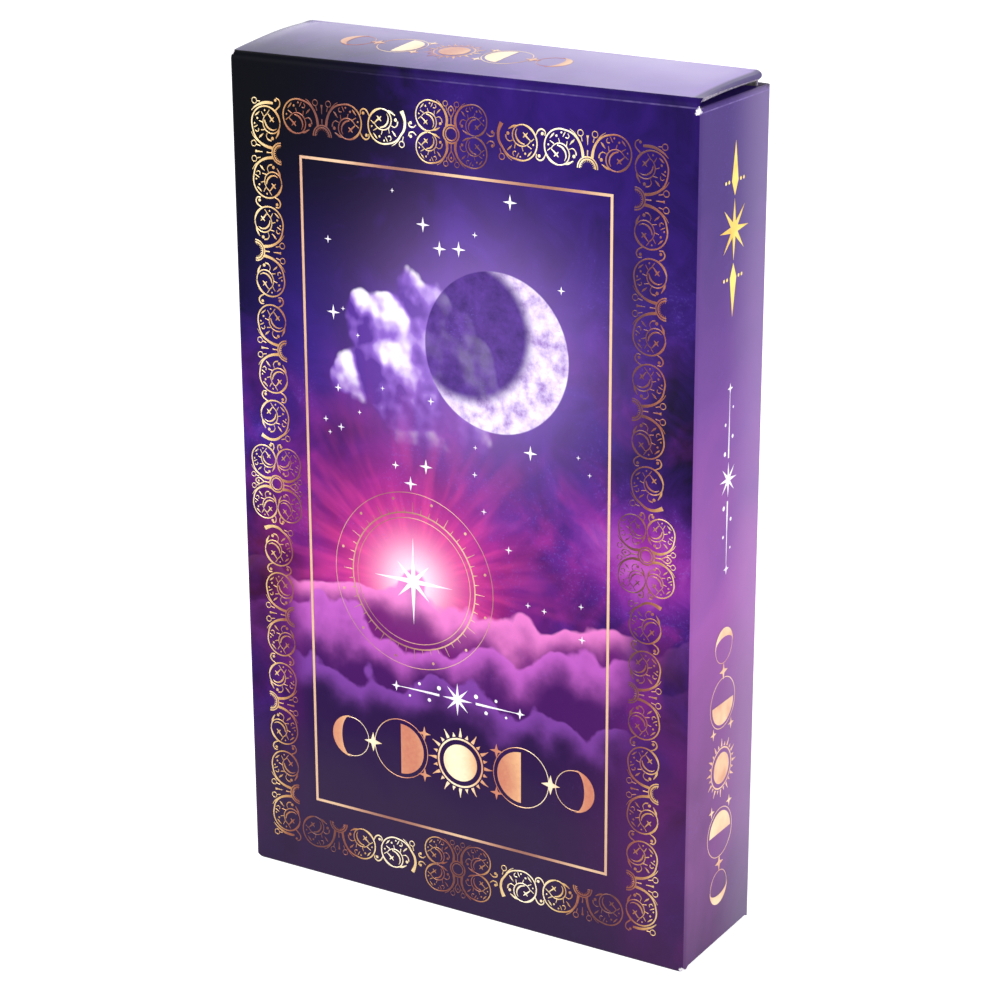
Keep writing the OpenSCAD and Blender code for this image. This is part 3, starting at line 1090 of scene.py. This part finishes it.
def sprigs(pen):
    """The flower in the eye, its leaf, and the twigs, leaves and seeds round it."""
    pen.stroke([(-1.4, 0.38), (-0.62, 1.04)], 0.18, 0.36)
    for tip in ((-0.98, 1.36), (-0.3, 0.7), (-0.3, 1.38)):
        pen.stroke([(-0.64, 1.02), tip], 0.34, 0.16)
    leaf = [(-0.5, -0.22), (0.2, 0.0), (0.72, 0.56), (0.86, 1.26), (0.62, 1.8)]
    pen.stroke(curve(leaf, 3), 0.2, 0.36, 0.26, 0.12)
    twigs = [((-1.45, 0.24), (-2.0, 0.66)), ((-0.98, -0.36), (-1.6, -0.72)), ((-0.1, -0.5), (-0.3, -1.16)),
             ((0.9, -0.2), (1.02, -0.88))]
    for start, tip in twigs:
        pen.stroke([start, tip], 0.2, 0.24, 0.16)
    pen.stroke(curve([(1.3, 0.2), (1.84, 0.02), (2.3, 0.36), (2.4, 0.88)], 4), 0.14, 0.2, 0.3)
    pen.dot((2.06, 1.06), 0.3)
    pen.stroke([(1.44, -0.48), (1.84, -0.94), (2.14, -1.24)], 0.1, 0.36, 0.12)
    pen.stroke(curve([(0.4, 2.26), (1.2, 2.1), (1.98, 1.66)], 4), 0.12, 0.42, 0.16)
    pen.stroke(curve([(-1.62, -1.06), (-1.24, -1.5), (-0.98, -1.82)], 3), 0.12, 0.32, 0.12)
    pen.dot((-0.62, -1.46), 0.2)
    pen.dot((-1.86, -0.16), 0.16)
    pen.dot((0.14, -1.96), 0.17)
    pen.stroke(curve([(0.72, -2.1), (0.54, -1.74), (0.36, -1.42)], 3), 0.16, 0.22, 0.14)
    pen.stroke(curve([(0.78, -1.34), (1.14, -1.3), (1.3, -1.62), (1.1, -1.9)], 3), 0.2, 0.2, 0.16)


def tail(pen):
    """A thin line beside the stem, and the ring on a stalk that grows from it."""
    pen.stroke(curve([(1.42, -2.58), (2.0, -2.2), (2.66, -1.46), (3.12, -0.5)], 4), 0.12, 0.2, 0.14)
    tendril(pen, (3.02, -2.2), (3.3, -1.1))


def tendril(pen, centre, foot):
    """A small ring on a stalk."""
    pen.ring(centre, TENDRIL_R, 0.17, 14)
    start = Vector(centre).lerp(Vector(foot), TENDRIL_R / (Vector(centre) - Vector(foot)).length)
    pen.stroke([tuple(start), foot], 0.17, 0.2)


def medallion(pen, stem):
    scroll(pen, stem)
    sprigs(pen)
    tail(pen)


def far_curl(pen):
    """The curl at a medallion's far end, over the gap to the next one."""
    pen.stroke(curve([(-2.22, 1.15), (-2.62, 1.86), (-3.16, 2.12), (-3.68, 1.82), (-3.66, 1.28)], 4),
               0.2, 0.3, 0.24, 0.2)
    pen.dot((-3.26, 1.52), 0.28)


def corner_end(pen):
    """The thick band, ring and curl that close a strip at the panel's corner."""
    pen.stroke(curve([(-1.66, -2.46), (-2.34, -1.66), (-2.86, -0.5), (-3.0, 0.5), (-2.96, 1.3)], 4),
               0.12, 0.34, 0.52, 0.54, 0.44)
    tendril(pen, (-3.1, -1.9), (-3.06, -0.9))
    pen.stroke(curve([(-2.0, 1.7), (-2.7, 2.4), (-3.4, 2.42), (-3.74, 1.88)], 4), 0.3, 0.24, 0.2)
    pen.dot((-3.42, 1.72), 0.26)


def half_sun(pen):
    """A toothed half ring, open to the strip's edge, with pins on the axis behind it."""
    centre = (SUN_REACH, SUN_EDGE)
    pen.stroke(arc(centre, (1.52, 1.52), 88, 272, 16), 0.26, 0.26)
    pen.stroke(arc(centre, (1.2, 1.2), 88, 272, 14), 0.28, 0.28)
    for inner, outer in zip(arc(centre, (0.84, 0.84), 98, 262, 10), arc(centre, (1.16, 1.16), 98, 262, 10)):
        pen.stroke([inner, outer], 0.08, 0.2)
    pen.stroke([(SUN_REACH, -1.98), (SUN_REACH, -1.5), (SUN_REACH, -0.7)], 0.5, 0.26, 0.12)
    pen.stroke([(SUN_REACH, 0.0), (SUN_REACH, 0.86)], 0.26, 0.16)


LOBE_ALONG = 3.52
LOBE_ACROSS = 2.2
LOBE_SCALE = 0.87
VOLUTE_GAP = 4.5


def quatrefoil(ink, centre, along, across, volute_at):
    """Four scrolls round a double ring, at the middle of a strip."""
    middle = Pen(ink, centre, along, across)
    middle.ring((0, 0), 1.25, 0.3, 24)
    middle.ring((0, 0), 0.9, 0.26, 20)
    for a in (-1, 1):
        for b in (-1, 1):
            place = middle.to((LOBE_ALONG * a, LOBE_ACROSS * b))
            lobe = Pen(ink, place, Vector(along) * -a, Vector(across) * -b, LOBE_SCALE)
            medallion(lobe, LOBE_STEM)
            middle.stroke([(2.95 * a, 0.18 * b), (2.4 * a, 0.44 * b), (1.92 * a, 0.62 * b)], 0.1, 0.3, 0.1)
            hook = [(-0.9, 0.72), (-0.4, 0.34), (0.2, 0.46), (0.32, 0.94)]
            middle.stroke(curve([((volute_at + u) * a, v * b) for u, v in hook], 4), 0.18, 0.26, 0.24)
            middle.dot((volute_at * a, 0.94 * b), 0.28)
    for b in (-1, 1):
        drop = [(0.0, 2.3), (-0.4, 2.95), (-0.42, 3.4), (0.0, 3.82), (0.42, 3.4), (0.4, 2.95), (0.0, 2.3)]
        middle.stroke(curve([(u, v * b) for u, v in drop], 3), 0.2, 0.24, 0.2)
        middle.stroke([(0.0, 1.36 * b), (0.0, 2.36 * b)], 0.2, 0.26)
        middle.dot((0.0, 3.26 * b), 0.2)


def strip(ink, centre, along, outward, near, suns, closed):
    """One side of the border, from its quatrefoil to both ends.

    near is how far the first medallion is from the middle, and suns how far the half suns are. These sit in
    turn at the strip's inner and outer edge. A closed strip has its ends at the panel's corners.
    """
    centre, along, outward = Vector(centre), Vector(along), Vector(outward)
    quatrefoil(ink, centre, along, outward, near - VOLUTE_GAP)
    for hand in (-1, 1):
        away = along * hand
        first = Pen(ink, centre + away * near, -away, outward)
        medallion(first, BAND_STEM)
        far_curl(first)
        for i, sun in enumerate(suns):
            edge = outward * (-1) ** (i + 1)
            inner = Pen(ink, centre + away * (sun - SUN_REACH), away, edge)
            outer = Pen(ink, centre + away * (sun + SUN_REACH), -away, edge)
            medallion(inner, SUN_STEM)
            far_curl(inner)
            half_sun(inner)
            medallion(outer, SUN_STEM)
            if i + 1 < len(suns):
                far_curl(outer)
        if closed:
            corner_end(outer)


COLUMN_NEAR = 10.3
COLUMN_SUNS = [20.5, 34.9, 49.3]
ROW_NEAR = 11.0
ROW_SUNS = [21.15]


def border(pen):
    """Two columns and two rows of medallions."""
    ink = pen.ink
    for hand in (-1, 1):
        centre = (BORDER_X + hand * BORDER_HALF_W, BORDER_MID_Z)
        strip(ink, centre, (0, 1), (hand, 0), COLUMN_NEAR, COLUMN_SUNS, True)
    strip(ink, (BORDER_X, BORDER_TOP_Z), (1, 0), (0, 1), ROW_NEAR, ROW_SUNS, False)
    strip(ink, (BORDER_X, BORDER_BOTTOM_Z), (1, 0), (0, -1), ROW_NEAR, ROW_SUNS, False)


def frame_line(pen):
    """The plain rectangle inside the border, with mitred corners."""
    outer = [(BORDER_X - LINE_HALF_W, LINE_LOW_Z), (BORDER_X + LINE_HALF_W, LINE_LOW_Z),
             (BORDER_X + LINE_HALF_W, LINE_HIGH_Z), (BORDER_X - LINE_HALF_W, LINE_HIGH_Z)]
    signs = [(1, 1), (-1, 1), (-1, -1), (1, -1)]
    inner = [(x + LINE_WIDTH * a, z + LINE_WIDTH * b) for (x, z), (a, b) in zip(outer, signs)]
    for i in range(4):
        k = (i + 1) % 4
        pen.fill([outer[i], outer[k], inner[k], inner[i]])


# Generic sky motifs; a moon phase is full, half or a crescent by where the edge of its light bends

FULL = -1.0
HALF = 0.0


def star(pen, centre, outer, inner, points):
    pen.fill(rosette(centre, [outer, inner] * points))


def crescent(pen, centre, radius, hollow, hand):
    """A moon phase: the lit limb is round, and hollow (-1 to 1) bends the other edge."""
    limb = arc(centre, (hand * radius, radius), 0, 180, 20)
    edge = arc(centre, (hand * radius * hollow, radius), 0, 180, 20)
    pen.band(limb, edge)


def rayed_moon(pen, centre, radius, rays):
    """A full moon in a ring, with rays of two lengths."""
    crescent(pen, centre, radius * 0.52, FULL, 1)
    pen.ring(centre, radius * 0.68, radius * 0.07)
    tips = rosette(centre, [radius, radius * 0.86] * (rays // 2))
    for foot, tip in zip(rosette(centre, [radius * 0.74] * rays), tips):
        pen.stroke([foot, tip], radius * 0.13, radius * 0.02)


def moon_phases(pen, half_length, height):
    """A row of five phases with small stars between them."""
    rayed_moon(pen, (0.0, 0.0), height * 0.5, 24)
    for hand in (-1, 1):
        reach = hand * half_length
        crescent(pen, (reach * 0.5, 0.0), height * 0.36, HALF, -hand)
        crescent(pen, (reach * 0.93, 0.0), height * 0.3, 0.5, hand)
        pen.ring((reach * 0.93, 0.0), height * 0.282, 0.14)
        pen.ring((reach * 0.5, 0.0), height * 0.42, 0.16)
        star(pen, (reach * 0.74, 0.0), height * 0.14, height * 0.045, 4)
        for lift in (height * 0.3, -height * 0.3):
            star(pen, (reach * 0.3, lift), height * 0.1, height * 0.03, 4)


def star_row(pen, half_length, height):
    """A small star between two tapered lines of beads."""
    star(pen, (0.0, 0.0), height * 0.5, height * 0.13, 8)
    for hand in (-1, 1):
        pen.stroke([(hand * height * 0.62, 0.0), (hand * half_length, 0.0)], height * 0.1, height * 0.02)
        for i, share in enumerate((0.3, 0.46, 0.62, 0.78)):
            lift = height * 0.22 * (-1) ** i
            pen.dot((hand * half_length * share, lift), height * (0.085 - 0.012 * i))
        star(pen, (hand * half_length, 0.0), height * 0.16, height * 0.05, 4)


def on_wall(to_plan, distance):
    """A printed face of the carton, where h is how far ink stands proud of it."""

    def place(u, z, h):
        return (*to_plan(u, distance + h), z)

    return place


def on_lid(x, y, h):
    return x, y, lid_height(x, y) + h


on_front = on_wall(from_front, HALF_D)
on_back = on_wall(from_back, HALF_D)
on_right = on_wall(from_right, HALF_W)
on_left = on_wall(from_left, HALF_W)


# Axes of a pen that draws level, and of one that draws up the panel

LEVEL = ((1, 0), (0, 1))
CLIMBING = ((0, 1), (-1, 0))


def draw(surface, name, material, slot, body, drawing, place=(0.0, 0.0), axes=LEVEL, size=()):
    ink = Ink(surface)
    drawing(Pen(ink, place, *axes), *size)
    ink.piece(name, MATERIALS[material], body, slot)


# Where the motifs lie, the rings of the two wheels (radius and width) with what is on them, and the front's
# small stars with the sky that they are in and what they keep clear of

PHASES_PLACE = (0.2, 24.3)
STAR_ROW_PLACE = (-0.2, 34.2)
LID_PHASES_PLACE = (-6.0, -0.4)
NEEDLE_PLACE = (0.0, 106.0)
SIDE_ROW_PLACE = (0.0, 71.0)
SIDE_PHASES_PLACE = (0.0, 28.0)
BACK_WHEEL_PLACE = (0.0, BORDER_MID_Z)
BACK_ROW_REACH = 38.0
LONG_STAR_RADII = [6.6, 0.95, 3.8, 0.95]
WHEEL_RINGS = ((9.6, 0.16), (10.4, 0.28), (13.4, 0.14))
WHEEL_TICKS = 48
TICK_FOOT = 10.5
TICK_TIPS = [12.0, 11.2, 11.2, 11.2]
BEAD_REACH = 12.5
BACK_RINGS = ((21.6, 0.4), (20.6, 0.16), (13.0, 0.3), (12.2, 0.14))
BACK_MOONS_REACH = 16.8
BACK_STARS_REACH = 24.4
SKY_ACROSS = (-LINE_HALF_W + 2, LINE_HALF_W - 3)
SKY_UP = (LINE_LOW_Z + 30, LINE_HIGH_Z - 2)
WHEEL_CLEAR = 14.2
MOON_CLEAR = MOON_R + 1.0
STAR_SEED = 7
STAR_TRIES = 46
STAR_SIZES = (0.35, 0.45, 0.6, 1.1)


def star_wheel(pen):
    """Rings, ticks and beads round the radiant star."""
    for radius, width in WHEEL_RINGS:
        pen.ring((0.0, 0.0), radius, width, 72)
    tips = rosette((0.0, 0.0), TICK_TIPS * (WHEEL_TICKS // len(TICK_TIPS)))
    for foot, tip in zip(rosette((0.0, 0.0), [TICK_FOOT] * WHEEL_TICKS), tips):
        pen.stroke([foot, tip], 0.2, 0.08)
    for bead in rosette((0.0, 0.0), [BEAD_REACH] * WHEEL_TICKS)[2::4]:
        pen.dot(bead, 0.28)


def radiant_star(pen):
    """The star in the wheel, whose points are in turn long and short, and small stars all over the sky."""
    pen.fill(rosette((0.0, 0.0), LONG_STAR_RADII * 4))
    sky = Pen(pen.ink, (0.0, 0.0), *LEVEL)
    seeds = random.Random(STAR_SEED)
    for _ in range(STAR_TRIES):
        x = seeds.uniform(*SKY_ACROSS)
        z = seeds.uniform(*SKY_UP)
        size = seeds.choice(STAR_SIZES)
        if math.dist((x, z), MOON_PLACE) > MOON_CLEAR and math.dist((x, z), STAR_PLACE) > WHEEL_CLEAR:
            star(sky, (x, z), size, size * 0.24, 4)


def needle_star(pen):
    """A tall needle star with beads."""
    star(pen, (0.0, 0.0), 4.2, 1.1, 8)
    for hand in (-1, 1):
        pen.fill([(0.0, hand * 12.0), (0.95, hand * 6.6), (0.0, hand * 4.6), (-0.95, hand * 6.6)])
        for far in (1.7, 2.6):
            pen.dot((far, hand * 6.6), 0.32)
            pen.dot((-far, hand * 6.6), 0.32)


def back_wheel(pen):
    """A wheel of moons and rays, with a row of stars above and below."""
    for radius, width in BACK_RINGS:
        pen.ring((0.0, 0.0), radius, width, 90)
    rayed_moon(pen, (0.0, 0.0), 11.4, 32)
    for i, moon in enumerate(rosette((0.0, 0.0), [BACK_MOONS_REACH] * 12)):
        crescent(pen, moon, 2.3, 0.9 - 0.3 * abs(i - 6), 1 if i < 6 else -1)
    for place in rosette((0.0, 0.0), [BACK_STARS_REACH] * 12):
        star(pen, place, 1.5, 0.4, 4)
    for hand in (-1, 1):
        star_row(Pen(pen.ink, pen.to((0.0, hand * BACK_ROW_REACH)), *LEVEL), 16.0, 7.0)


draw(on_front, "front_border", "gold", "gold_print", "carton", border)
draw(on_front, "front_frame_line", "line", "gold_print", "carton", frame_line)
draw(on_front, "front_moon_phases", "motif", "gold_print", "carton", moon_phases, PHASES_PLACE,
     size=(20.5, 11.0))
draw(on_front, "front_star_row", "white", "front_print", "carton", star_row, STAR_ROW_PLACE,
     size=(10.5, 5.0))
draw(on_front, "front_star_wheel", "line", "gold_print", "carton", star_wheel, STAR_PLACE)
draw(on_front, "front_stars", "white", "front_print", "carton", radiant_star, STAR_PLACE)
draw(on_back, "back_border", "gold", "gold_print", "carton", border)
draw(on_back, "back_frame_line", "line", "gold_print", "carton", frame_line)
draw(on_back, "back_wheel", "motif", "gold_print", "carton", back_wheel, BACK_WHEEL_PLACE)
for hand_name, surface in (("right", on_right), ("left", on_left)):
    draw(surface, hand_name + "_needle_star", "yellow", "gold_print", "carton", needle_star, NEEDLE_PLACE)
    draw(surface, hand_name + "_star_row", "white", "side_print", "carton", star_row, SIDE_ROW_PLACE,
         CLIMBING, (13.0, 5.0))
    draw(surface, hand_name + "_moon_phases", "blush", "gold_print", "carton", moon_phases,
         SIDE_PHASES_PLACE, CLIMBING, (20.0, 9.0))
draw(on_lid, "lid_moon_phases", "motif", "gold_print", "lid", moon_phases, LID_PHASES_PLACE,
     size=(17.0, 8.6))


# Stage: floor, light and camera


FLOOR_WHITE = 0.8
FLOOR_COLOUR = (0.8, 0.8, 0.8, 1.0)
FLOOR_HALF = 3000.0
FLOOR_DROP = 0.02
WORLD_LIGHT = 0.22
WORLD_SEEN = 1.0


def seen_rays(tree):
    """1 for what the camera sees straight, through glass or in a mirror, and 0 for other light."""
    path = tree.nodes.new("ShaderNodeLightPath")
    seen = path.outputs["Is Camera Ray"]
    for kind in ("Is Transmission Ray", "Is Glossy Ray"):
        either = tree.nodes.new("ShaderNodeMath")
        either.operation = "MAXIMUM"
        tree.links.new(seen, either.inputs[0])
        tree.links.new(path.outputs[kind], either.inputs[1])
        seen = either.outputs[0]
    return seen


def floor_material():
    """White to the camera, and a plain pale floor to the rest of the light."""
    shade = Shade("floor_white")
    tree = shade.tree
    shade.colour = FLOOR_COLOUR
    shade.finish(0.9, 0.0)
    strength = Value(shade, seen_rays(tree)) * FLOOR_WHITE
    white = shade.make("ShaderNodeEmission", {"Strength": strength})
    both = shade.make("ShaderNodeAddShader", {0: shade.surface.outputs[0], 1: white})
    shade.feed(tree.nodes["Material Output"].inputs[0], both)
    return shade.material


def floor():
    corners = [(FLOOR_HALF * a, FLOOR_HALF * b, 0.0) for a, b in ((-1, -1), (1, -1), (1, 1), (-1, 1))]
    piece = mesh_piece("floor", corners, [(0, 1, 2, 3)], [floor_material()])
    piece.location.z = -FLOOR_DROP * MM


def world():
    made = bpy.data.worlds.new("studio")
    bpy.context.scene.world = made
    made.use_nodes = True
    tree = made.node_tree
    strength = tree.nodes.new("ShaderNodeMapRange")
    strength.inputs["To Min"].default_value = WORLD_LIGHT
    strength.inputs["To Max"].default_value = WORLD_SEEN
    tree.links.new(seen_rays(tree), strength.inputs["Value"])
    tree.links.new(strength.outputs[0], tree.nodes["Background"].inputs["Strength"])
    tree.nodes["Background"].inputs["Color"].default_value = (1.0, 1.0, 1.0, 1.0)


def softbox(name, place, target, size, power):
    light = bpy.data.lights.new(name, "AREA")
    light.shape = "RECTANGLE"
    light.size, light.size_y = size[0] * MM, size[1] * MM
    light.energy = power
    lamp = bpy.data.objects.new(name, light)
    lamp.location = Vector(place) * MM
    lamp.rotation_euler = (Vector(place) - Vector(target)).to_track_quat("Z", "Y").to_euler()
    lamp.visible_camera = False
    bpy.context.scene.collection.objects.link(lamp)


CAMERA_AZIMUTH = math.radians(31.15)
CAMERA_ELEVATION = math.radians(18.73)
CAMERA_ROLL = math.radians(-0.2)
CAMERA_DISTANCE = 404.1
CAMERA_TARGET = (0.83, 0.0, 61.79)
CAMERA_LENS = 100.95
CAMERA_SENSOR = 36.0
CAMERA_CLIP = (0.01, 50.0)


def camera():
    data = bpy.data.cameras.new("camera")
    data.sensor_width = CAMERA_SENSOR
    data.lens = CAMERA_LENS
    data.clip_start, data.clip_end = CAMERA_CLIP
    eye = bpy.data.objects.new("camera", data)
    across = math.sin(CAMERA_AZIMUTH) * math.cos(CAMERA_ELEVATION)
    along = -math.cos(CAMERA_AZIMUTH) * math.cos(CAMERA_ELEVATION)
    back = Vector((across, along, math.sin(CAMERA_ELEVATION)))
    eye.location = (Vector(CAMERA_TARGET) + back * CAMERA_DISTANCE) * MM
    eye.rotation_euler = back.to_track_quat("Z", "Y").to_matrix().to_euler()
    eye.rotation_euler.rotate_axis("Z", CAMERA_ROLL)
    bpy.context.scene.collection.objects.link(eye)
    bpy.context.scene.camera = eye


floor()
world()
softbox("key", (-300.0, -640.0, 420.0), (0.0, 0.0, 60.0), (500.0, 500.0), 6.6)
softbox("rear", (-380.0, 620.0, 330.0), (0.0, 0.0, 120.0), (900.0, 420.0), 1.2)
softbox("right", (700.0, 60.0, 260.0), (0.0, 0.0, 60.0), (500.0, 500.0), 4.4)
camera()
bpy.context.scene.view_settings.view_transform = "Standard"
